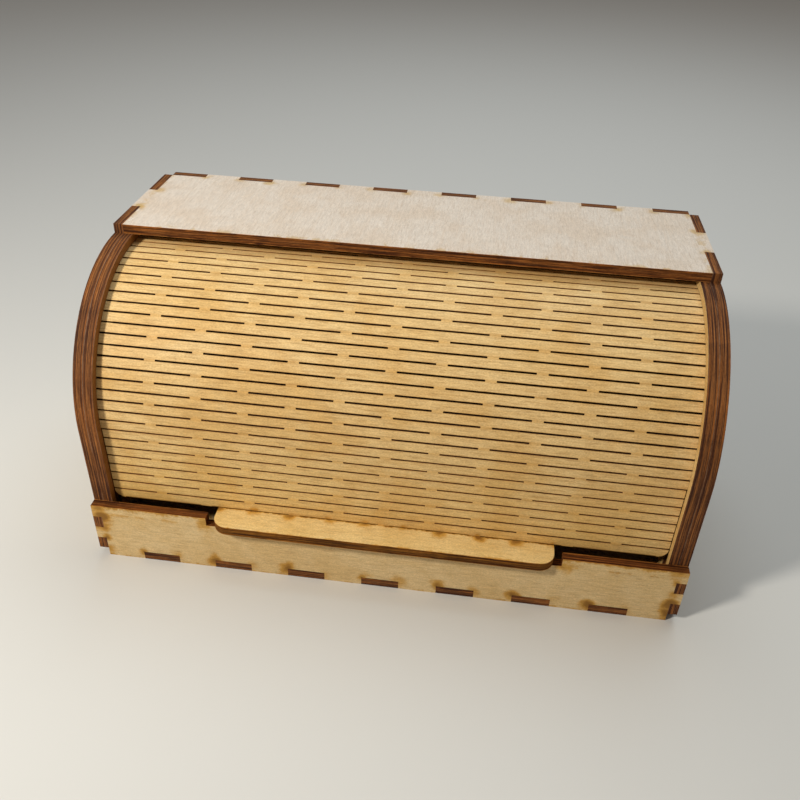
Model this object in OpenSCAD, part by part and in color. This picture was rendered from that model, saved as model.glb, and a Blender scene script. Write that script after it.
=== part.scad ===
// Bread box with a roll top, cut from flat plywood sheet.
// Finger joints hold the case; the door is one sheet made flexible by rows of
// kerfs, and it rolls in a groove between two curved rails on each side.
// +Z up, the front faces -Y, origin on the base under the axis of the round front.

/* [Sheet] */
// Thickness of every sheet
sheet = 5; // [4:0.25:6]
// Shortest finger on a long edge
finger_min = 20; // [16:1:24]

/* [Box] */
// Clear width between the side panels
inner_w = 300; // [240:10:400]
// Clear depth, which is also the diameter of the round front
inner_d = 150; // [124:1:200]
// Clear height
inner_h = 150; // [150:1:220]
// Height of the fixed strip below the door
strip_h = 35; // [28:1:42]
// Fingers and gaps on each upright end of the strip
strip_fingers = 4; // [2:2:6]
// Width of the notch for the handle in the strip
notch_w = 185; // [120:5:200]

/* [Rails] */
// Distance from the outline of the side to the outer face of the door
door_recess = 4.5; // [3:0.25:7]
// Radial width of the inner rail
inner_rail_w = 8; // [5:0.5:12]
// Play between the door and each rail
groove_play = 0.3; // [0.2:0.05:0.5]

/* [Door] */
// Spacing of the rows of kerfs on the round stretch, along the outer face
row_pitch = 5.6; // [5:0.1:7]
// Length of one kerf
kerf_l = 42; // [34:1:50]
// Width of one kerf
kerf_w = 0.8; // [0.5:0.1:1.2]
// Wood left between two kerfs of a row
bridge_l = 5.4; // [4:0.2:8]
// Angle that the closed door reaches past the top of its curve
tuck_angle = 8; // [6:1:12]
// Gap between the edge of the sheet and each side panel
edge_play = 0.5; // [0.3:0.1:1]
// Radius of the lower corners of the door
door_corner_r = 5; // [1:0.5:5]
// Gap under the closed door
lift = 0.2; // [0.1:0.1:1]

/* [Handle] */
// Length of the handle
handle_w = 176.4; // [100:0.1:190]
// How far the handle stands in front of the strip
handle_out = 5.15; // [2:0.05:10]
// Radius of the front corners of the handle
handle_r = 8; // [3:0.5:12]
// Fingers and gaps between the handle and the door
handle_fingers = 9; // [5:2:11]

/* [Hidden] */
$fn = 180;

// Case
half_w = inner_w / 2;
round_r = inner_d / 2;
inner_top = sheet + inner_h;
axis_z = inner_top - round_r;

// Groove, as radii about the axis of the round front
door_out_r = round_r - door_recess;
door_in_r = door_out_r - sheet;
outer_rail_r = door_out_r + groove_play;
inner_rail_out_r = door_in_r - groove_play;
inner_rail_in_r = inner_rail_out_r - inner_rail_w;

// Door
slat_count = 8;
door_bottom = strip_h + lift;
slat_h = (axis_z - door_bottom) / slat_count;
row_angle = row_pitch / door_out_r * 180 / PI;
arc_rows = floor((90 + tuck_angle - 1.5) / row_angle);
door_angle = 90 + tuck_angle;
slat_bend = 2 * asin(slat_h / (2 * door_in_r));
roll_travel = 90 + (slat_count - 0.5) * slat_bend + 1;
rail_angle = roll_travel + door_angle + 5;
door_half = half_w - edge_play;
slat_half = half_w - sheet - groove_play;
kerf_step = kerf_l + bridge_l;
spare = 1;

wood_top = "#d9c6ad";
wood_side = "#8a5a3a";
wood_strip = "#cfae7d";
wood_door = "#d3a65c";
wood_handle = "#ddb060";
wood_rail = "#a87445";

// Largest odd number of fingers, each at least finger_min long
function finger_count(length) = 2 * floor((length / finger_min - 1) / 2) + 1;

// A row of count cells along X from 0 to length, keeping every other one
module fingers(length, count, first, depth) {
    cell = length / count;
    for (i = [first : 2 : count - 1])
        translate([i * cell, 0]) square([cell, depth]);
}

// Side view frame: X is forward, Y is up from the axis, extruded towards -X of the box
module side_view() {
    translate([0, 0, axis_z]) rotate([90, 0, -90]) children();
}

// Plate in side view lying between two distances from the middle, on the left or right
module side_plate(near, far, side) {
    side_view() translate([0, 0, side < 0 ? near : -far]) linear_extrude(far - near) children();
}

// Outline with a round front top, standing on the bottom panel
module round_front(r, low) {
    intersection() {
        circle(r);
        square([r, r]);
    }
    translate([0, low]) square([r, -low]);
}

module bottom_panel() {
    n_w = finger_count(inner_w);
    n_d = finger_count(inner_d);
    color(wood_strip) linear_extrude(sheet) union() {
        translate([-half_w, -round_r]) square([inner_w, inner_d]);
        translate([-half_w, -round_r - sheet]) fingers(inner_w, n_w, 1, sheet);
        translate([-half_w, round_r]) fingers(inner_w, n_w, 1, sheet);
        translate([half_w + sheet, -round_r]) rotate(90) fingers(inner_d, n_d, 1, sheet);
        translate([-half_w, -round_r]) rotate(90) fingers(inner_d, n_d, 1, sheet);
    }
}

module back_panel() {
    n_w = finger_count(inner_w);
    n_h = finger_count(inner_h);
    color(wood_strip) translate([0, round_r + sheet, sheet]) rotate([90, 0, 0]) linear_extrude(sheet) union() {
        translate([-half_w, 0]) square([inner_w, inner_h]);
        translate([-half_w, -sheet]) fingers(inner_w, n_w, 0, sheet);
        translate([-half_w, inner_h]) fingers(inner_w, n_w, 0, sheet);
        translate([half_w + sheet, 0]) rotate(90) fingers(inner_h, n_h, 1, sheet);
        translate([-half_w, 0]) rotate(90) fingers(inner_h, n_h, 1, sheet);
    }
}

module top_panel() {
    n_w = finger_count(inner_w);
    n_d = finger_count(round_r);
    color(wood_top) translate([0, 0, inner_top]) linear_extrude(sheet) union() {
        translate([-half_w, 0]) square([inner_w, round_r]);
        translate([-half_w, round_r]) fingers(inner_w, n_w, 1, sheet);
        translate([half_w + sheet, 0]) rotate(90) fingers(round_r, n_d, 1, sheet);
        translate([-half_w, 0]) rotate(90) fingers(round_r, n_d, 1, sheet);
    }
}

module front_strip() {
    n_w = finger_count(inner_w);
    face_h = strip_h - sheet;
    color(wood_strip) translate([0, -round_r, sheet]) rotate([90, 0, 0]) linear_extrude(sheet) difference() {
        union() {
            translate([-half_w, 0]) square([inner_w, face_h]);
            translate([-half_w, -sheet]) fingers(inner_w, n_w, 0, sheet);
            translate([half_w + sheet, 0]) rotate(90) fingers(face_h, strip_fingers, 1, sheet);
            translate([-half_w, 0]) rotate(90) fingers(face_h, strip_fingers, 1, sheet);
        }
        translate([-notch_w / 2, face_h - sheet]) square([notch_w, sheet + spare]);
    }
}

module side_panel(side) {
    n_h = finger_count(inner_h);
    n_d = finger_count(inner_d);
    n_t = finger_count(round_r);
    low = sheet - axis_z;
    color(wood_side) side_plate(half_w, half_w + sheet, side) union() {
        round_front(round_r, low);
        translate([-round_r, low]) square([round_r, inner_h]);
        translate([-round_r, round_r]) fingers(round_r, n_t, 0, sheet);
        translate([-round_r, low - sheet]) fingers(inner_d, n_d, 0, sheet);
        translate([-round_r, low]) rotate(90) fingers(inner_h, n_h, 0, sheet);
        translate([round_r + sheet, low]) rotate(90) fingers(strip_h - sheet, strip_fingers, 0, sheet);
    }
}

module front_rail(side) {
    low = sheet - axis_z;
    color(wood_rail) side_plate(half_w - sheet, half_w, side) difference() {
        round_front(round_r, low);
        translate([-spare, low - spare]) square([outer_rail_r + spare, spare - low]);
        circle(outer_rail_r);
    }
}

module rear_rail(side) {
    tail = -outer_rail_r * sin(rail_angle - 180);
    color(wood_rail) side_plate(half_w - sheet, half_w, side) difference() {
        translate([-round_r, tail]) square([round_r, round_r - tail]);
        circle(outer_rail_r);
    }
}

module inner_rail(side) {
    low = sheet - axis_z;
    far = 2 * round_r;
    color(wood_rail) side_plate(half_w - sheet, half_w, side) union() {
        difference() {
            circle(inner_rail_out_r);
            circle(inner_rail_in_r);
            polygon([[0, 0], [far, 0], [far, -far], [-far * cos(rail_angle - 180), -far * sin(rail_angle - 180)]]);
        }
        translate([inner_rail_in_r, low]) square([inner_rail_w, -low]);
    }
}

// Kerfs of one row as boxes along X at height 0; bridges of odd rows sit half a step aside
module kerf_row(odd, near, far) {
    shift = odd ? kerf_step / 2 : 0;
    reach = door_half - kerf_l / 2;
    last = floor((reach - shift) / kerf_step);
    first = odd ? -last - 1 : -last;
    centres = [for (i = [first : last]) shift + i * kerf_step];
    edges = concat([-half_w], [for (c = centres) each [c - bridge_l / 2, c + bridge_l / 2]], [half_w]);
    for (i = [0 : 2 : len(edges) - 2])
        translate([edges[i], -far, -kerf_w / 2]) cube([edges[i + 1] - edges[i], far - near, kerf_w]);
}

module door_sheet() {
    color(wood_door) difference() {
        side_view() rotate_extrude(angle = door_angle)
            translate([door_in_r, -door_half]) square([sheet, 2 * door_half]);
        for (k = [0 : arc_rows])
            translate([0, 0, axis_z]) rotate([-k * row_angle, 0, 0])
                kerf_row(k % 2 == 1, door_in_r - spare, door_out_r + spare);
    }
}

// Outline of the straight stretch of the door in front view, with round lower corners
module apron_outline() {
    intersection() {
        translate([-slat_half, door_bottom]) square([2 * slat_half, axis_z - door_bottom]);
        union() {
            translate([-slat_half, door_bottom + door_corner_r]) square([2 * slat_half, inner_h]);
            translate([-slat_half + door_corner_r, door_bottom]) square([2 * (slat_half - door_corner_r), inner_h]);
            for (s = [-1, 1])
                translate([s * (slat_half - door_corner_r), door_bottom + door_corner_r]) circle(door_corner_r);
        }
    }
}

// Cells of the handle joint, cut through the lower edge of the door
module handle_joint(first) {
    translate([-handle_w / 2, 0]) fingers(handle_w, handle_fingers, first, sheet);
}

module door_slat(n) {
    top = axis_z - (n - 1) * slat_h;
    color(wood_door) difference() {
        translate([0, -door_in_r, 0]) rotate([90, 0, 0]) linear_extrude(sheet) union() {
            intersection() {
                apron_outline();
                translate([-half_w, top - slat_h]) square([inner_w, slat_h]);
            }
            if (n == slat_count) translate([0, door_bottom - sheet]) handle_joint(1);
        }
        translate([0, 0, top]) kerf_row(n % 2 == 0, door_in_r - spare, door_out_r + spare);
        if (n < slat_count)
            translate([0, 0, top - slat_h]) kerf_row(n % 2 == 1, door_in_r - spare, door_out_r + spare);
    }
}

module handle() {
    reach = round_r + sheet + handle_out;
    color(wood_handle) translate([0, 0, door_bottom - sheet]) linear_extrude(sheet) union() {
        translate([-handle_w / 2, -reach + handle_r]) square([handle_w, reach - handle_r - door_out_r]);
        translate([-handle_w / 2 + handle_r, -reach]) square([handle_w - 2 * handle_r, handle_r]);
        for (s = [-1, 1]) translate([s * (handle_w / 2 - handle_r), -reach + handle_r]) circle(handle_r);
        translate([0, -door_out_r]) handle_joint(0);
    }
}

bottom_panel();
back_panel();
top_panel();
front_strip();
side_panel(-1);  // left_side
side_panel(1);  // right_side
front_rail(-1);  // left_front_rail
front_rail(1);  // right_front_rail
rear_rail(-1);  // left_rear_rail
rear_rail(1);  // right_rear_rail
inner_rail(-1);  // left_inner_rail
inner_rail(1);  // right_inner_rail
door_sheet();
door_slat(1);  // door_slat_1
door_slat(2);  // door_slat_2
door_slat(3);  // door_slat_3
door_slat(4);  // door_slat_4
door_slat(5);  // door_slat_5
door_slat(6);  // door_slat_6
door_slat(7);  // door_slat_7
door_slat(8);  // door_slat_8
handle();
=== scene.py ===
import math

import bpy
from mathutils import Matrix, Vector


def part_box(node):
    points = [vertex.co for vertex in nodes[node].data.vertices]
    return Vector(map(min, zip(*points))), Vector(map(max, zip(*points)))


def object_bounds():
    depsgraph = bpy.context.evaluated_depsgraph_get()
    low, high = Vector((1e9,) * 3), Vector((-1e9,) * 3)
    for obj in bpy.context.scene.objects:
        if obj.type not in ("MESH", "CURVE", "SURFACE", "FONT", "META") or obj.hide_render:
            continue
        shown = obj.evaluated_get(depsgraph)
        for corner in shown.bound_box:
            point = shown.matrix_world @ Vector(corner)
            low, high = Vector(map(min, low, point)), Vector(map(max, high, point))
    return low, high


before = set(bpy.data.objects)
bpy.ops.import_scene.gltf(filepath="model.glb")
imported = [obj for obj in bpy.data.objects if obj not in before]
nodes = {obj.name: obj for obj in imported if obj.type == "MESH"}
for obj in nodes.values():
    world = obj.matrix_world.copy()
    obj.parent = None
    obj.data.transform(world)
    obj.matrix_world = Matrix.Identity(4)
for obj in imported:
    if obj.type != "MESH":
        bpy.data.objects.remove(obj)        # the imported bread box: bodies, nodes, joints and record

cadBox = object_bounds()
print("bread box loaded:", len(nodes), "pieces")

# Sizes that the finishes line up with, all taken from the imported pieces
topLow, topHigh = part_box("top_panel")
stripLow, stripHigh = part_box("front_strip")
handleLow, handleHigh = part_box("handle")
slatLow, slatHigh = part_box("door_slat_1")
sheet = topHigh.z - topLow.z                   # thickness of the plywood
innerHalf = topHigh.x - sheet                  # middle to the inside of a side panel
backInside = topHigh.y - sheet                 # inside of the back panel
axisHeight = slatHigh.z                        # height of the axis that the door rolls about
doorMiddle = -(slatLow.y + slatHigh.y) / 2     # radius of the middle of the door sheet
slatHeight = slatHigh.z - slatLow.z
doorFace = -slatLow.y                          # radius of the outer face of the door
stripInside = stripHigh.y
innerHeight = topLow.z - sheet


# Helpers that add one node each, joined up or given plain values
def addNode(tree, kind, **values):
    node = tree.nodes.new(kind)
    for name, value in values.items():
        setattr(node, name, value)
    return node


def feed(tree, value, socket):
    if isinstance(value, bpy.types.NodeSocket):
        tree.links.new(value, socket)
    else:
        socket.default_value = value


def calc(tree, operation, first, second=0.0, third=None):
    node = addNode(tree, "ShaderNodeMath", operation=operation)
    feed(tree, first, node.inputs[0])
    feed(tree, second, node.inputs[1])
    if third is not None:
        feed(tree, third, node.inputs[2])
    return node.outputs[0]


def fade(tree, value, low, high, fromValue=0.0, toValue=1.0):
    node = addNode(tree, "ShaderNodeMapRange", interpolation_type="SMOOTHSTEP")
    feed(tree, value, node.inputs["Value"])
    feed(tree, low, node.inputs["From Min"])
    feed(tree, high, node.inputs["From Max"])
    feed(tree, fromValue, node.inputs["To Min"])
    feed(tree, toValue, node.inputs["To Max"])
    return node.outputs["Result"]


def blendColor(tree, amount, first, second, mode="MIX"):
    node = addNode(tree, "ShaderNodeMix", data_type="RGBA", blend_type=mode)
    feed(tree, amount, node.inputs["Factor"])
    feed(tree, first, node.inputs["A"])
    feed(tree, second, node.inputs["B"])
    return node.outputs["Result"]


def stretch(tree, vector, sizes):
    node = addNode(tree, "ShaderNodeVectorMath", operation="MULTIPLY")
    feed(tree, vector, node.inputs[0])
    feed(tree, sizes, node.inputs[1])
    return node.outputs[0]


def noise(tree, vector, scale, detail=2.0, rough=0.5, twist=0.0):
    node = addNode(tree, "ShaderNodeTexNoise")
    feed(tree, vector, node.inputs["Vector"])
    feed(tree, scale, node.inputs["Scale"])
    feed(tree, detail, node.inputs["Detail"])
    feed(tree, rough, node.inputs["Roughness"])
    feed(tree, twist, node.inputs["Distortion"])
    return node.outputs["Fac"]


def split(tree, vector):
    node = addNode(tree, "ShaderNodeSeparateXYZ")
    feed(tree, vector, node.inputs[0])
    return node.outputs


def join(tree, first, second, third):
    node = addNode(tree, "ShaderNodeCombineXYZ")
    for value, socket in zip((first, second, third), node.inputs):
        feed(tree, value, socket)
    return node.outputs[0]


def newGroup(name, inputs, outputs):
    tree = bpy.data.node_groups.new(name, "ShaderNodeTree")
    for label, kind in inputs:
        tree.interface.new_socket(label, in_out="INPUT", socket_type=kind)
    for label, kind in outputs:
        tree.interface.new_socket(label, in_out="OUTPUT", socket_type=kind)
    source = tree.nodes.new("NodeGroupInput")
    target = tree.nodes.new("NodeGroupOutput")
    return tree, source.outputs, target.inputs


def useGroup(tree, group, **values):
    node = addNode(tree, "ShaderNodeGroup", node_tree=group)
    for name, value in values.items():
        feed(tree, value, node.inputs[name])
    return node.outputs


# Grain figure of the birch face: repeats per metre along, across and through, then strengths
grain = {"band": (16, 300, 16), "streak": (70, 1000, 70), "fibre": (240, 4200, 240),
         "fleck": (330, 2300, 330), "curl": (150, 560, 150), "speck": (900, 1500, 900),
         "cloudScale": 21.0, "bandShare": 0.6, "fibreTone": 0.07, "speckTone": 0.13}


def buildVeneer():
    # Bare birch face: Place runs along the grain in X, across it in Y
    tree, given, made = newGroup(
        "birchVeneer",
        [("Place", "NodeSocketVector"), ("Tint", "NodeSocketColor"), ("Warm", "NodeSocketColor"),
         ("Dark", "NodeSocketColor"), ("Grain", "NodeSocketFloat"), ("Cloud", "NodeSocketFloat")],
        [("Color", "NodeSocketColor"), ("Height", "NodeSocketFloat")])
    place = given["Place"]
    bands = noise(tree, stretch(tree, place, grain["band"]), 1.0, 3.0, 0.55, 0.5)
    streaks = noise(tree, stretch(tree, place, grain["streak"]), 1.0, 4.0, 0.65, 0.4)
    fibres = noise(tree, stretch(tree, place, grain["fibre"]), 1.0, 3.0, 0.65)
    flecks = noise(tree, stretch(tree, place, grain["fleck"]), 1.0, 1.0, 0.5)
    curl = noise(tree, stretch(tree, place, grain["curl"]), 1.0, 3.0, 0.6, 0.4)
    specks = noise(tree, stretch(tree, place, grain["speck"]), 1.0, 2.0, 0.6)
    clouds = noise(tree, place, grain["cloudScale"], 3.0, 0.6, 0.5)
    warmth = calc(tree, "MULTIPLY", fade(tree, clouds, 0.40, 0.66), given["Cloud"])
    color = blendColor(tree, warmth, given["Tint"], given["Warm"])
    bandGrain = calc(tree, "MULTIPLY", given["Grain"], grain["bandShare"])
    bandDark = calc(tree, "MULTIPLY", fade(tree, bands, 0.45, 0.68), bandGrain)
    color = blendColor(tree, bandDark, color, given["Warm"])
    streakDark = calc(tree, "MULTIPLY", fade(tree, streaks, 0.46, 0.68), given["Grain"])
    color = blendColor(tree, streakDark, color, given["Dark"])
    fleckDark = calc(tree, "MULTIPLY", fade(tree, flecks, 0.62, 0.76), given["Grain"])
    color = blendColor(tree, fleckDark, color, given["Dark"])
    fibreTone = fade(tree, fibres, 0.2, 0.8, -grain["fibreTone"], grain["fibreTone"])
    speckTone = fade(tree, specks, 0.25, 0.75, -grain["speckTone"], grain["speckTone"])
    shade = calc(tree, "ADD", fade(tree, curl, 0.25, 0.75, 0.92, 1.06), fibreTone)
    shade = calc(tree, "ADD", shade, speckTone)
    color = blendColor(tree, 1.0, color, join(tree, shade, shade, shade), "MULTIPLY")
    feed(tree, color, made["Color"])
    height = calc(tree, "ADD", calc(tree, "MULTIPLY", fibres, 0.6), calc(tree, "MULTIPLY", flecks, -0.5))
    feed(tree, calc(tree, "MULTIPLY_ADD", curl, 0.8, height), made["Height"])
    return tree


# Cut edge: char streaks in repeats per metre, soot and glue line
cutEdge = {"wander": (110, 110, 110), "broad": (14, 14, 1150), "thin": (34, 34, 3600),
           "grit": (420, 420, 3200), "patchScale": 48.0,
           "soot": (0.022, 0.008, 0.004, 1.0), "sootShare": 0.8,
           "glue": (0.02, 0.007, 0.004, 1.0), "glueShare": 0.6, "lineShare": 0.8}


def buildCutEdge():
    # Laser-cut edge of three-ply sheet: Place.z runs through the sheet, 0 at its middle
    tree, given, made = newGroup(
        "charredEdge",
        [("Place", "NodeSocketVector"), ("Char", "NodeSocketColor"), ("Rim", "NodeSocketColor"),
         ("Core", "NodeSocketColor"), ("Line", "NodeSocketColor"), ("Half", "NodeSocketFloat")],
        [("Color", "NodeSocketColor"), ("Height", "NodeSocketFloat")])
    place = given["Place"]
    through = split(tree, place)["Z"]
    depth = calc(tree, "DIVIDE", calc(tree, "ABSOLUTE", through), given["Half"])     # 0 core, 1 face
    wander = noise(tree, stretch(tree, place, cutEdge["wander"]), 1.0, 2.0, 0.5)
    depth = calc(tree, "ADD", depth, fade(tree, wander, 0.2, 0.8, -0.07, 0.07))
    broad = noise(tree, stretch(tree, place, cutEdge["broad"]), 1.0, 3.0, 0.6, 0.15)
    thin = noise(tree, stretch(tree, place, cutEdge["thin"]), 1.0, 3.0, 0.7, 0.15)
    grit = noise(tree, stretch(tree, place, cutEdge["grit"]), 1.0, 3.0, 0.7)
    patches = noise(tree, place, cutEdge["patchScale"], 3.0, 0.6, 0.5)
    color = blendColor(tree, fade(tree, broad, 0.43, 0.6), given["Char"], given["Rim"])
    coreMask = fade(tree, depth, 0.5, 0.38)
    coreLight = calc(tree, "MULTIPLY", fade(tree, thin, 0.44, 0.66), coreMask)
    color = blendColor(tree, calc(tree, "MULTIPLY", coreLight, 0.6), color, given["Core"])
    thinDark = calc(tree, "MULTIPLY", fade(tree, thin, 0.52, 0.34), cutEdge["sootShare"])
    color = blendColor(tree, thinDark, color, cutEdge["soot"])
    glue = calc(tree, "MULTIPLY", fade(tree, depth, 0.42, 0.5), fade(tree, depth, 0.6, 0.52))
    color = blendColor(tree, calc(tree, "MULTIPLY", glue, cutEdge["glueShare"]), color, cutEdge["glue"])
    lineMask = calc(tree, "MULTIPLY", fade(tree, depth, 0.84, 0.95), fade(tree, patches, 0.3, 0.5))
    lineMask = calc(tree, "MULTIPLY", lineMask, cutEdge["lineShare"])
    color = blendColor(tree, lineMask, color, given["Line"])
    shade = calc(tree, "MULTIPLY", fade(tree, patches, 0.25, 0.75, 0.78, 1.2),
                 fade(tree, grit, 0.3, 0.7, 0.78, 1.24))
    color = blendColor(tree, 1.0, color, join(tree, shade, shade, shade), "MULTIPLY")
    feed(tree, color, made["Color"])
    height = calc(tree, "ADD", calc(tree, "MULTIPLY", thin, 1.2), calc(tree, "MULTIPLY", grit, 0.5))
    height = calc(tree, "SUBTRACT", height, calc(tree, "MULTIPLY", glue, 0.6))
    feed(tree, height, made["Height"])
    return tree


# Blot at a finger corner: ragged rim, and how much one corner may differ from the next
blot = {"rimScale": 170.0, "rimRagged": 0.16, "pickScale": 45.0, "bigger": -0.1, "smaller": 0.35}


def buildScorch():
    # Smoke stain where the beam turned a corner: one blot for each finger corner along a row
    tree, given, made = newGroup(
        "fingerScorch",
        [("Place", "NodeSocketVector"), ("Along", "NodeSocketFloat"), ("Start", "NodeSocketFloat"),
         ("Pitch", "NodeSocketFloat"), ("From", "NodeSocketFloat"), ("Reach", "NodeSocketFloat"),
         ("Even", "NodeSocketFloat")],
        [("Mask", "NodeSocketFloat")])
    turns = calc(tree, "DIVIDE", calc(tree, "SUBTRACT", given["Along"], given["Start"]), given["Pitch"])
    side = calc(tree, "MULTIPLY", calc(tree, "PINGPONG", turns, 0.5), given["Pitch"])
    wobble = noise(tree, given["Place"], blot["rimScale"], 2.0, 0.5)
    pick = noise(tree, given["Place"], blot["pickScale"], 1.0, 0.5)
    away = calc(tree, "SQRT", calc(tree, "ADD", calc(tree, "POWER", side, 2.0),
                                   calc(tree, "POWER", given["From"], 2.0)))
    share = calc(tree, "DIVIDE", away, given["Reach"])
    ragged = fade(tree, wobble, 0.2, 0.8, -blot["rimRagged"], blot["rimRagged"])
    share = calc(tree, "ADD", share, ragged)
    share = calc(tree, "ADD", share, fade(tree, pick, 0.35, 0.65, blot["bigger"], blot["smaller"]))
    odd = calc(tree, "PINGPONG", calc(tree, "ROUND", turns), 1.0)
    weight = fade(tree, odd, 0.0, 1.0, given["Even"], 1.0)
    feed(tree, calc(tree, "MULTIPLY", fade(tree, share, 1.0, 0.05), weight), made["Mask"])
    return tree


# Toasted cut line, also used for a band of painted shade: how often it breaks off, and its ragged rim
toastAndShade = {"gapScale": 75.0, "rimScale": 420.0, "rimRagged": 0.25}


def buildToastAndShade():
    # Brown tint that follows a cut line, uneven along it; on the bottom panel a wide band of it is painted
    # shade
    tree, given, made = newGroup(
        "lineToastAndShade",
        [("Place", "NodeSocketVector"), ("From", "NodeSocketFloat"), ("Reach", "NodeSocketFloat"),
         ("Gaps", "NodeSocketFloat")],
        [("Mask", "NodeSocketFloat")])
    broken = noise(tree, given["Place"], toastAndShade["gapScale"], 3.0, 0.6, 0.4)
    wobble = noise(tree, given["Place"], toastAndShade["rimScale"], 2.0, 0.5)
    share = calc(tree, "DIVIDE", given["From"], given["Reach"])
    ragged = fade(tree, wobble, 0.2, 0.8, -toastAndShade["rimRagged"], toastAndShade["rimRagged"])
    share = calc(tree, "ADD", share, ragged)
    share = calc(tree, "MULTIPLY_ADD", fade(tree, broken, 0.4, 0.62), given["Gaps"], share)
    feed(tree, fade(tree, share, 1.0, 0.0), made["Mask"])
    return tree


# What light smoke does to the veneer, how dull each surface is, and how deep its relief
ply = {"amber": (0.80, 0.61, 0.28, 1.0), "stainShare": 0.85, "edgeRough": 0.82,
       "faceRough": (0.66, 0.52), "faceRelief": 0.35, "bump": 0.35, "bumpDepth": 0.00025}


def buildPly():
    # Whole sheet: veneer on the faces, char on the cut edges, smoke stains over the faces, and through the
    # stain any band of painted shade that a sheet lays
    tree, given, made = newGroup(
        "birchPly",
        [("Place", "NodeSocketVector"), ("Face", "NodeSocketFloat"), ("Tint", "NodeSocketColor"),
         ("Warm", "NodeSocketColor"), ("Dark", "NodeSocketColor"), ("Grain", "NodeSocketFloat"),
         ("Cloud", "NodeSocketFloat"), ("Char", "NodeSocketColor"), ("Rim", "NodeSocketColor"),
         ("Core", "NodeSocketColor"), ("Line", "NodeSocketColor"), ("Half", "NodeSocketFloat"),
         ("Scorch", "NodeSocketFloat"), ("Stain", "NodeSocketColor")],
        [("Color", "NodeSocketColor"), ("Roughness", "NodeSocketFloat"), ("Height", "NodeSocketFloat")])
    veneer = useGroup(tree, veneerGroup, Place=given["Place"], Tint=given["Tint"], Warm=given["Warm"],
                      Dark=given["Dark"], Grain=given["Grain"], Cloud=given["Cloud"])
    edge = useGroup(tree, edgeGroup, Place=given["Place"], Char=given["Char"], Rim=given["Rim"],
                    Core=given["Core"], Line=given["Line"], Half=given["Half"])
    isFace = fade(tree, given["Face"], 0.6, 0.75)
    thin = fade(tree, given["Scorch"], 0.0, 0.6)
    thick = calc(tree, "MULTIPLY", fade(tree, given["Scorch"], 0.45, 1.0), ply["stainShare"])
    amber = blendColor(tree, 1.0, veneer["Color"], ply["amber"], "MULTIPLY")
    stained = blendColor(tree, thin, veneer["Color"], amber)
    stained = blendColor(tree, thick, stained, given["Stain"])
    feed(tree, blendColor(tree, isFace, edge["Color"], stained), made["Color"])
    dull = fade(tree, veneer["Height"], -0.3, 0.6, *ply["faceRough"])
    glossier = calc(tree, "SUBTRACT", dull, ply["edgeRough"])
    feed(tree, calc(tree, "MULTIPLY_ADD", isFace, glossier, ply["edgeRough"]), made["Roughness"])
    heights = addNode(tree, "ShaderNodeMix", data_type="FLOAT")
    feed(tree, isFace, heights.inputs["Factor"])
    feed(tree, edge["Height"], heights.inputs["A"])
    feed(tree, calc(tree, "MULTIPLY", veneer["Height"], ply["faceRelief"]), heights.inputs["B"])
    feed(tree, heights.outputs["Result"], made["Height"])
    return tree


veneerGroup = buildVeneer()
edgeGroup = buildCutEdge()
scorchGroup = buildScorch()
toastAndShadeGroup = buildToastAndShade()
plyGroup = buildPly()
print("shared effects built")


# Cut edge of a sheet whose own look says nothing else
plainEdge = {"char": (0.06, 0.0155, 0.004, 1.0), "rim": (0.25, 0.082, 0.015, 1.0),
             "core": (0.33, 0.14, 0.042, 1.0), "line": (0.36, 0.15, 0.05, 1.0)}


def startMaterial(name):
    material = bpy.data.materials.new(name)
    material.use_nodes = True
    tree = material.node_tree
    shader = tree.nodes["Principled BSDF"]
    coords = tree.nodes.new("ShaderNodeTexCoord")
    return material, tree, shader, coords


def finishMaterial(tree, shader, place, face, look, scorch):
    shader.inputs["Specular IOR Level"].default_value = look["shine"]
    look = {**plainEdge, **look}
    made = useGroup(tree, plyGroup, Place=place, Face=face, Tint=look["tint"], Warm=look["warm"],
                    Dark=look["dark"], Grain=look["grain"], Cloud=look["cloud"],
                    Char=look["char"], Rim=look["rim"], Core=look["core"], Line=look["line"],
                    Half=sheet / 2, Scorch=scorch, Stain=look["stain"])
    tree.links.new(made["Color"], shader.inputs["Base Color"])
    tree.links.new(made["Roughness"], shader.inputs["Roughness"])
    bump = addNode(tree, "ShaderNodeBump")
    bump.inputs["Strength"].default_value = ply["bump"]
    bump.inputs["Distance"].default_value = ply["bumpDepth"]
    tree.links.new(made["Height"], bump.inputs["Height"])
    tree.links.new(bump.outputs["Normal"], shader.inputs["Normal"])


def strongest(tree, masks):
    total = masks[0]
    for mask in masks[1:]:
        total = calc(tree, "MAXIMUM", total, mask)
    return total


def scorchRow(tree, place, axes, row):
    # row: axis along the fingers, first corner, pitch, axis towards them, root line, reach
    along = axes[row["along"]]
    away = axes[row["toward"]]
    if row.get("bothEnds"):
        away = calc(tree, "ABSOLUTE", away)
    gap = calc(tree, "ABSOLUTE", calc(tree, "SUBTRACT", away, row["root"]))
    mask = useGroup(tree, scorchGroup, Place=place, Along=along, Start=row["start"], Pitch=row["pitch"],
                    From=gap, Reach=row["reach"], Even=row.get("even", 0.8))["Mask"]
    return calc(tree, "MULTIPLY", mask, row.get("strength", 1.0))


def toastAndShadeLine(tree, place, axes, line):
    # line: axis away from the cut, where the cut is, reach, gaps along it, strength
    away = axes[line["toward"]]
    if line.get("bothEnds"):
        away = calc(tree, "ABSOLUTE", away)
    gap = calc(tree, "ABSOLUTE", calc(tree, "SUBTRACT", away, line["root"]))
    mask = useGroup(tree, toastAndShadeGroup, Place=place, From=gap, Reach=line["reach"], Gaps=line["gaps"])["Mask"]
    return calc(tree, "MULTIPLY", mask, line["strength"])


grainShift = 0.37                               # metres between the grain of left and right


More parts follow.
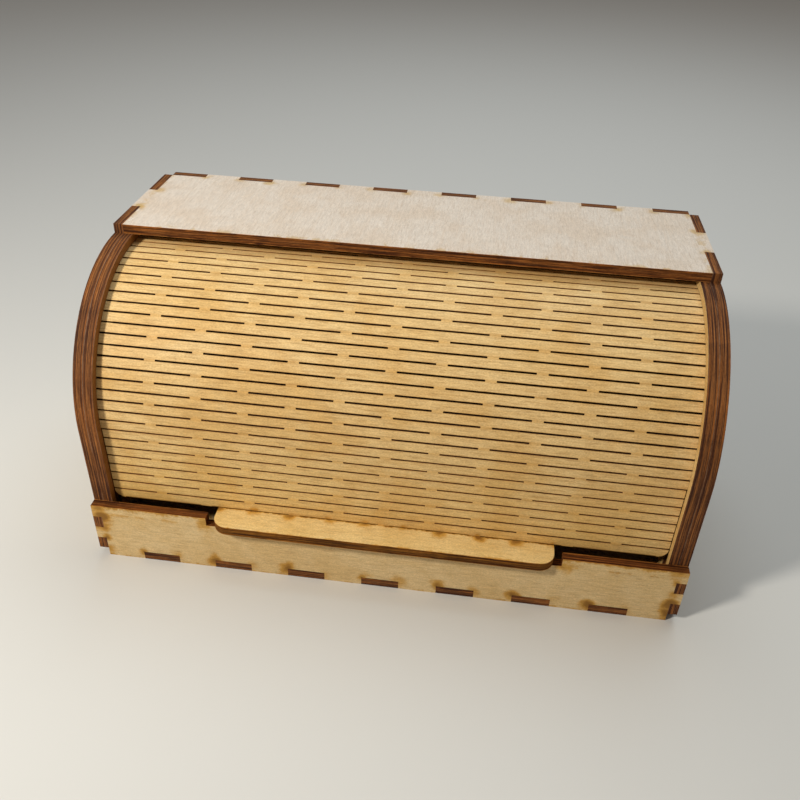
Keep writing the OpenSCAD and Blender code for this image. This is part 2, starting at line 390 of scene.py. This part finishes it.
def flatPly(name, order, middle, look, rows, lines=(), mirrored=False):
    # order: which axes run along the grain, across it and through the sheet
    material, tree, shader, coords = startMaterial(name)
    axes = split(tree, coords.outputs["Object"])
    turned = split(tree, coords.outputs["Normal"])
    through = axes[order[2]]
    along = axes[order[0]]
    if mirrored:                                # left and right get different stretches of grain
        along = calc(tree, "MULTIPLY_ADD", calc(tree, "SIGN", through), grainShift, along)
        through = calc(tree, "ABSOLUTE", through)
    through = calc(tree, "SUBTRACT", through, middle)
    fine = look["fine"]
    across = calc(tree, "MULTIPLY", axes[order[1]], fine)
    place = join(tree, calc(tree, "MULTIPLY", along, fine), across, through)
    face = calc(tree, "ABSOLUTE", turned[order[2]])
    marks = [scorchRow(tree, place, axes, row) for row in rows]
    marks += [toastAndShadeLine(tree, place, axes, line) for line in lines]
    scorch = strongest(tree, marks)
    finishMaterial(tree, shader, place, face, look, scorch)
    return material


# How many fingers each edge has, and from that how far apart their corners are
wideFingers = 15                                # long edges
tallFingers = 7                                 # depth and height edges
topFingers = 3                                  # ends of the top panel
stripFingers = 4                                # ends of the front strip
handleCells = 9                                 # joint between the handle and the door
widePitch = innerHalf * 2 / wideFingers
tallPitch = innerHeight / tallFingers
topPitch = backInside / topFingers
stripPitch = (stripHigh.z - sheet) / stripFingers
stripMiddle = (stripLow.y + stripHigh.y) / 2
handlePitch = handleHigh.x * 2 / handleCells
longReach = 0.0075                              # how far smoke goes from a finger corner
sideReach = 0.006                               # the same on the side panels


def wideRow(toward, root, **extra):
    return {"along": "X", "start": -innerHalf, "pitch": widePitch, "toward": toward, "root": root,
            "reach": longReach, **extra}


def endRow(along, start, pitch, **extra):
    return {"along": along, "start": start, "pitch": pitch, "toward": "X", "root": innerHalf,
            "reach": longReach, "bothEnds": True, **extra}


topLook = {"tint": (0.695, 0.61, 0.53, 1.0), "warm": (0.63, 0.50, 0.385, 1.0),
           "dark": (0.50, 0.38, 0.285, 1.0), "grain": 0.44, "cloud": 0.5, "fine": 1.7, "shine": 0.14,
           "stain": (0.40, 0.22, 0.09, 1.0), "line": (0.44, 0.18, 0.045, 1.0)}


def makeTopPly():
    rows = [wideRow("Y", backInside, strength=0.45), endRow("Y", 0.0, topPitch, strength=0.5)]
    lines = [{"toward": "Y", "root": 0.0, "reach": 0.006, "gaps": 1.6, "strength": 0.35},
             {"toward": "X", "root": innerHalf, "bothEnds": True, "reach": 0.005, "gaps": 1.2,
              "strength": 0.3}]
    return flatPly("topPly", ("Y", "X", "Z"), (topLow.z + topHigh.z) / 2, topLook, rows, lines)


stripLook = {"tint": (0.66, 0.49, 0.26, 1.0), "warm": (0.60, 0.41, 0.18, 1.0),
             "dark": (0.42, 0.255, 0.10, 1.0), "grain": 0.45, "cloud": 0.7, "fine": 1.35, "shine": 0.1,
             "char": (0.052, 0.0135, 0.0035, 1.0), "rim": (0.22, 0.068, 0.012, 1.0),
             "core": (0.27, 0.10, 0.026, 1.0), "stain": (0.21, 0.095, 0.018, 1.0),
             "line": (0.46, 0.18, 0.035, 1.0), "notchHalf": 0.0925}


def makeStripPly():
    notchHalf = stripLook["notchHalf"]          # half the notch for the handle
    notchRow = {"along": "X", "start": -notchHalf, "pitch": 2 * notchHalf, "toward": "Z",
                "root": stripHigh.z - sheet, "reach": 0.011, "strength": 0.8, "even": 1.0}
    rows = [wideRow("Z", sheet, strength=1.0, even=0.45),
            endRow("Z", sheet, stripPitch, strength=1.0), notchRow]
    lines = [{"toward": "Z", "root": stripHigh.z, "reach": 0.0034, "gaps": 0.4, "strength": 0.72},
             {"toward": "Z", "root": stripHigh.z - sheet, "reach": 0.0022, "gaps": 0.9, "strength": 0.4},
             {"toward": "Z", "root": 0.0, "reach": 0.002, "gaps": 0.8, "strength": 0.5}]
    return flatPly("stripPly", ("X", "Z", "Y"), stripMiddle, stripLook, rows, lines)


# Back, bottom and sides
caseLook = {"tint": (0.64, 0.49, 0.29, 1.0), "warm": (0.57, 0.39, 0.19, 1.0),
            "dark": (0.40, 0.245, 0.105, 1.0), "grain": 0.45, "cloud": 0.8, "fine": 1.3, "shine": 0.25,
            "stain": (0.33, 0.145, 0.03, 1.0), "line": (0.20, 0.105, 0.055, 1.0)}
# Bottom: near-black stain and edge line; the stain also colours a band of painted shade inside the box
# behind the front strip
bottomShadeLook = {**caseLook, "stain": (0.09, 0.034, 0.01, 1.0), "line": (0.03, 0.011, 0.004, 1.0)}


def makeBackPly():
    rows = [wideRow("Z", sheet, strength=0.7), wideRow("Z", topLow.z, strength=0.7),
            endRow("Z", sheet, tallPitch, strength=0.7)]
    return flatPly("backPly", ("X", "Z", "Y"), backInside + sheet / 2, caseLook, rows)


def makeBottomPly():
    rows = [wideRow("Y", backInside, strength=0.7), wideRow("Y", stripInside, strength=0.7),
            endRow("Y", stripInside, tallPitch, strength=0.7)]
    # wide near-black band along the inside of the front strip: painted shade inside the box
    lines = [{"toward": "Y", "root": stripInside, "reach": 0.05, "gaps": 0.2, "strength": 1.0}]
    return flatPly("bottomPly", ("X", "Y", "Z"), sheet / 2, bottomShadeLook, rows, lines)


def makeSidePly():
    rows = [{"along": "Y", "start": stripInside, "pitch": tallPitch, "toward": "Z", "root": sheet,
             "reach": sideReach, "strength": 0.75},
            {"along": "Y", "start": 0.0, "pitch": topPitch, "toward": "Z", "root": topLow.z,
             "reach": sideReach, "strength": 0.75},
            {"along": "Z", "start": sheet, "pitch": tallPitch, "toward": "Y", "root": backInside,
             "reach": sideReach, "strength": 0.75},
            {"along": "Z", "start": sheet, "pitch": stripPitch, "toward": "Y", "root": stripInside,
             "reach": 0.005, "strength": 0.75}]
    return flatPly("sidePly", ("Y", "Z", "X"), innerHalf + sheet / 2, caseLook, rows, mirrored=True)


railLook = {"tint": (0.62, 0.42, 0.17, 1.0), "warm": (0.52, 0.30, 0.09, 1.0),
            "dark": (0.35, 0.17, 0.05, 1.0), "grain": 0.45, "cloud": 0.8, "fine": 1.3, "shine": 0.25,
            "stain": (0.32, 0.14, 0.03, 1.0), "line": (0.20, 0.105, 0.055, 1.0)}
# Left rail: the rail look made far darker, painted shade for the rail that faces away from the key lamp
leftRailShadeLook = {**railLook, "tint": (0.31, 0.125, 0.026, 1.0), "warm": (0.25, 0.09, 0.016, 1.0),
                "dark": (0.16, 0.052, 0.01, 1.0)}


def makeRailPly(name, look):
    rows = [{"along": "Z", "start": sheet, "pitch": innerHeight, "toward": "Y", "root": stripInside,
             "reach": 0.004, "strength": 0.6}]
    return flatPly(name, ("Y", "Z", "X"), innerHalf - sheet / 2, look, rows, mirrored=True)


handleLook = {"tint": (0.80, 0.59, 0.27, 1.0), "warm": (0.72, 0.48, 0.17, 1.0),
              "dark": (0.52, 0.31, 0.10, 1.0), "grain": 0.38, "cloud": 0.6, "fine": 1.3, "shine": 0.1,
              "stain": (0.17, 0.06, 0.01, 1.0), "char": (0.058, 0.0165, 0.002, 1.0),
              "rim": (0.23, 0.082, 0.01, 1.0), "core": (0.32, 0.14, 0.022, 1.0),
              "line": (0.52, 0.22, 0.04, 1.0)}


def makeHandlePly():
    rows = [{"along": "X", "start": -handleHigh.x, "pitch": handlePitch, "toward": "Y",
             "root": -doorFace, "reach": 0.0068, "strength": 1.0, "even": 0.85}]
    lines = [{"toward": "Y", "root": -doorFace, "reach": 0.0016, "gaps": 0.3, "strength": 1.0},
             {"toward": "Y", "root": handleLow.y, "reach": 0.0018, "gaps": 1.0, "strength": 0.5}]
    middle = (handleLow.z + handleHigh.z) / 2
    return flatPly("handlePly", ("X", "Y", "Z"), middle, handleLook, rows, lines)


doorLook = {"tint": (0.74, 0.515, 0.235, 1.0), "warm": (0.65, 0.40, 0.14, 1.0),
            "dark": (0.43, 0.24, 0.078, 1.0), "grain": 0.56, "cloud": 0.7, "fine": 1.25, "shine": 0.2,
            "stain": (0.42, 0.20, 0.045, 1.0), "lowTint": (0.73, 0.49, 0.18, 1.0),
            "lowWarm": (0.64, 0.375, 0.095, 1.0), "soot": (0.02, 0.008, 0.004, 1.0),
            "char": (0.045, 0.014, 0.008, 1.0), "rim": (0.10, 0.035, 0.014, 1.0),
            "core": (0.14, 0.055, 0.024, 1.0),
            "driftScale": 9.0, "drift": 0.08, "amberNone": 0.06, "amberFull": -0.03}
# Kerfs: the step from bridge to bridge and the reach of each mark in metres, its smoke as a share
kerf = {"step": 0.0474, "bridgeLong": 0.0065, "bridgeHigh": 0.0024, "bridgeSmoke": 0.17,
        "ragScale": 300.0, "ragged": 0.35, "edgeNear": 0.0004, "edgeFar": 0.0014, "edgeSmoke": 0.24,
        "bridgeEnd": (0.0026, 0.0031), "bendStart": -0.012, "bendFull": 0.02,
        "lowLip": 0.00036, "highLip": 0.00046, "lipFade": 0.00012,
        "jointReach": 0.0042, "jointSmoke": 0.6, "jointEnd": 0.001}


def makeDoorPly():
    # The door bends, so its pattern is wrapped: along X, round the axis, and through the sheet
    material, tree, shader, coords = startMaterial("doorPly")
    axes = split(tree, coords.outputs["Object"])
    turned = split(tree, coords.outputs["Normal"])
    forward = calc(tree, "MULTIPLY", axes["Y"], -1.0)
    rise = calc(tree, "SUBTRACT", axes["Z"], axisHeight)
    above = calc(tree, "MAXIMUM", rise, 0.0)
    radius = calc(tree, "SQRT", calc(tree, "ADD", calc(tree, "POWER", forward, 2.0),
                                     calc(tree, "POWER", above, 2.0)))
    angle = calc(tree, "ARCTAN2", above, forward)
    arc = calc(tree, "MULTIPLY_ADD", angle, doorFace, calc(tree, "MINIMUM", rise, 0.0))
    place = join(tree, axes["X"], arc, calc(tree, "SUBTRACT", radius, doorMiddle))
    outY = calc(tree, "DIVIDE", forward, radius)
    outZ = calc(tree, "DIVIDE", above, radius)
    face = calc(tree, "ABSOLUTE", calc(tree, "SUBTRACT", calc(tree, "MULTIPLY", turned["Z"], outZ),
                                       calc(tree, "MULTIPLY", turned["Y"], outY)))
    # smoke at the bridges: rows one slat apart, every other row half a step aside
    step = kerf["step"]
    row = calc(tree, "ROUND", calc(tree, "DIVIDE", arc, slatHeight))
    aside = calc(tree, "MULTIPLY", calc(tree, "PINGPONG", row, 1.0), step / 2)
    acrossRow = calc(tree, "ABSOLUTE", calc(tree, "SUBTRACT", arc, calc(tree, "MULTIPLY", row, slatHeight)))
    turns = calc(tree, "DIVIDE", calc(tree, "SUBTRACT", axes["X"], aside), step)
    alongRow = calc(tree, "MULTIPLY", calc(tree, "PINGPONG", turns, 0.5), step)
    sideways = calc(tree, "POWER", calc(tree, "DIVIDE", alongRow, kerf["bridgeLong"]), 2.0)
    upwards = calc(tree, "POWER", calc(tree, "DIVIDE", acrossRow, kerf["bridgeHigh"]), 2.0)
    near = calc(tree, "SQRT", calc(tree, "ADD", sideways, upwards))
    rag = fade(tree, noise(tree, place, kerf["ragScale"], 2.0), 0.2, 0.8, -kerf["ragged"], kerf["ragged"])
    near = calc(tree, "ADD", near, rag)
    bridgeSmoke = calc(tree, "MULTIPLY", fade(tree, near, 1.0, 0.2), kerf["bridgeSmoke"])
    kerfSmoke = fade(tree, acrossRow, kerf["edgeFar"], kerf["edgeNear"])
    kerfSmoke = calc(tree, "MULTIPLY", kerfSmoke, kerf["edgeSmoke"])
    # sooty lip along each kerf, wider where the sheet is bent
    cut = fade(tree, alongRow, *kerf["bridgeEnd"])
    spread = fade(tree, arc, kerf["bendStart"], kerf["bendFull"], kerf["lowLip"], kerf["highLip"])
    lipEnd = calc(tree, "ADD", spread, kerf["lipFade"])
    lip = calc(tree, "MULTIPLY", fade(tree, acrossRow, lipEnd, spread), cut)
    # smoke along the joint of the handle
    jointGap = calc(tree, "ABSOLUTE", calc(tree, "SUBTRACT", arc, handleHigh.z - axisHeight))
    jointMarks = useGroup(tree, scorchGroup, Place=place, Along=axes["X"], Start=-handleHigh.x,
                          Pitch=handlePitch, From=jointGap, Reach=kerf["jointReach"], Even=0.7)["Mask"]
    onHandle = fade(tree, calc(tree, "ABSOLUTE", axes["X"]), handleHigh.x + kerf["jointEnd"],
                    handleHigh.x - kerf["jointEnd"])
    jointSmoke = calc(tree, "MULTIPLY", jointMarks, calc(tree, "MULTIPLY", onHandle, kerf["jointSmoke"]))
    scorch = strongest(tree, [bridgeSmoke, kerfSmoke, jointSmoke])
    # the face turns amber towards the lower edge, along an uneven line
    look = dict(doorLook)
    drift = noise(tree, place, look["driftScale"], 2.0)
    drift = calc(tree, "MULTIPLY_ADD", drift, look["drift"], arc)
    amber = fade(tree, drift, look["amberNone"], look["amberFull"])
    look["tint"] = blendColor(tree, amber, look["tint"], look["lowTint"])
    look["warm"] = blendColor(tree, amber, look["warm"], look["lowWarm"])
    look["stain"] = blendColor(tree, lip, look["stain"], look["soot"])
    fine = look["fine"]
    place = stretch(tree, place, (fine, fine, 1.0))
    finishMaterial(tree, shader, place, face, look, calc(tree, "MAXIMUM", scorch, lip))
    return material


def dress():
    sidePly = makeSidePly()
    leftRailShadePly = makeRailPly("leftRailShadePly", leftRailShadeLook)
    rightRailPly = makeRailPly("rightRailPly", railLook)
    doorPly = makeDoorPly()
    finishes = {"top_panel": makeTopPly(), "front_strip": makeStripPly(), "back_panel": makeBackPly(),
                "bottom_panel": makeBottomPly(), "handle": makeHandlePly()}
    for name, node in nodes.items():
        if "rail" in name:
            # the left rail takes the darker copy with painted shade
            material = leftRailShadePly if "left" in name else rightRailPly
        elif "side" in name:
            material = sidePly
        elif "door" in name:
            material = doorPly
        else:
            material = finishes[name]
        node.data.materials.clear()
        node.data.materials.append(material)
    print("finishes on", len(nodes), "pieces")


dress()


studio = {"floorColor": (0.62, 0.61, 0.59, 1.0), "floorSize": 6.0, "floorRough": 0.9,
          "worldLight": 0.2, "worldColor": (1.0, 0.90, 0.80, 1.0),
          "keyPlace": (-0.49, -0.46, 0.58), "keySize": 0.12, "keyPower": 5.6, "keyColor": (1.0, 0.95, 0.85),
          "topPlace": (0.15, 0.55, 1.35), "topSize": 1.2, "topPower": 10.5, "topColor": (0.86, 0.96, 1.0)}


def makeFloor():
    bpy.ops.mesh.primitive_plane_add(size=studio["floorSize"], location=(0, 0, 0))
    floor = bpy.context.object
    floor.name = "studioFloor"
    material = bpy.data.materials.new("floorPaint")
    material.use_nodes = True
    shader = material.node_tree.nodes["Principled BSDF"]
    shader.inputs["Base Color"].default_value = studio["floorColor"]
    shader.inputs["Roughness"].default_value = studio["floorRough"]
    floor.data.materials.append(material)


def addLamp(name, place, size, power, color):
    data = bpy.data.lights.new(name, "AREA")
    data.shape = "DISK"
    data.size = size
    data.energy = power
    data.color = color
    lamp = bpy.data.objects.new(name, data)
    bpy.context.scene.collection.objects.link(lamp)
    lamp.location = place
    aim = (cadBox[0] + cadBox[1]) / 2 - lamp.location
    lamp.rotation_euler = aim.to_track_quat("-Z", "Y").to_euler()


def makeStudio():
    makeFloor()
    addLamp("keyLamp", studio["keyPlace"], studio["keySize"], studio["keyPower"], studio["keyColor"])
    addLamp("topLamp", studio["topPlace"], studio["topSize"], studio["topPower"], studio["topColor"])
    world = bpy.data.worlds.new("studioWorld")
    world.use_nodes = True
    world.node_tree.nodes["Background"].inputs["Color"].default_value = studio["worldColor"]
    world.node_tree.nodes["Background"].inputs["Strength"].default_value = studio["worldLight"]
    bpy.context.scene.world = world
    bpy.context.scene.view_settings.view_transform = "Standard"


cameraSetup = {"place": (0.0407, -0.3882, 0.3377), "turn": (55.189, -1.742, 7.399), "lens": 37.64}


def makeCamera():
    data = bpy.data.cameras.new("boxCamera")
    data.lens = cameraSetup["lens"]
    camera = bpy.data.objects.new("boxCamera", data)
    bpy.context.scene.collection.objects.link(camera)
    camera.location = cameraSetup["place"]
    camera.rotation_euler = [math.radians(a) for a in cameraSetup["turn"]]
    bpy.context.scene.camera = camera


makeStudio()
makeCamera()
print("studio ready")
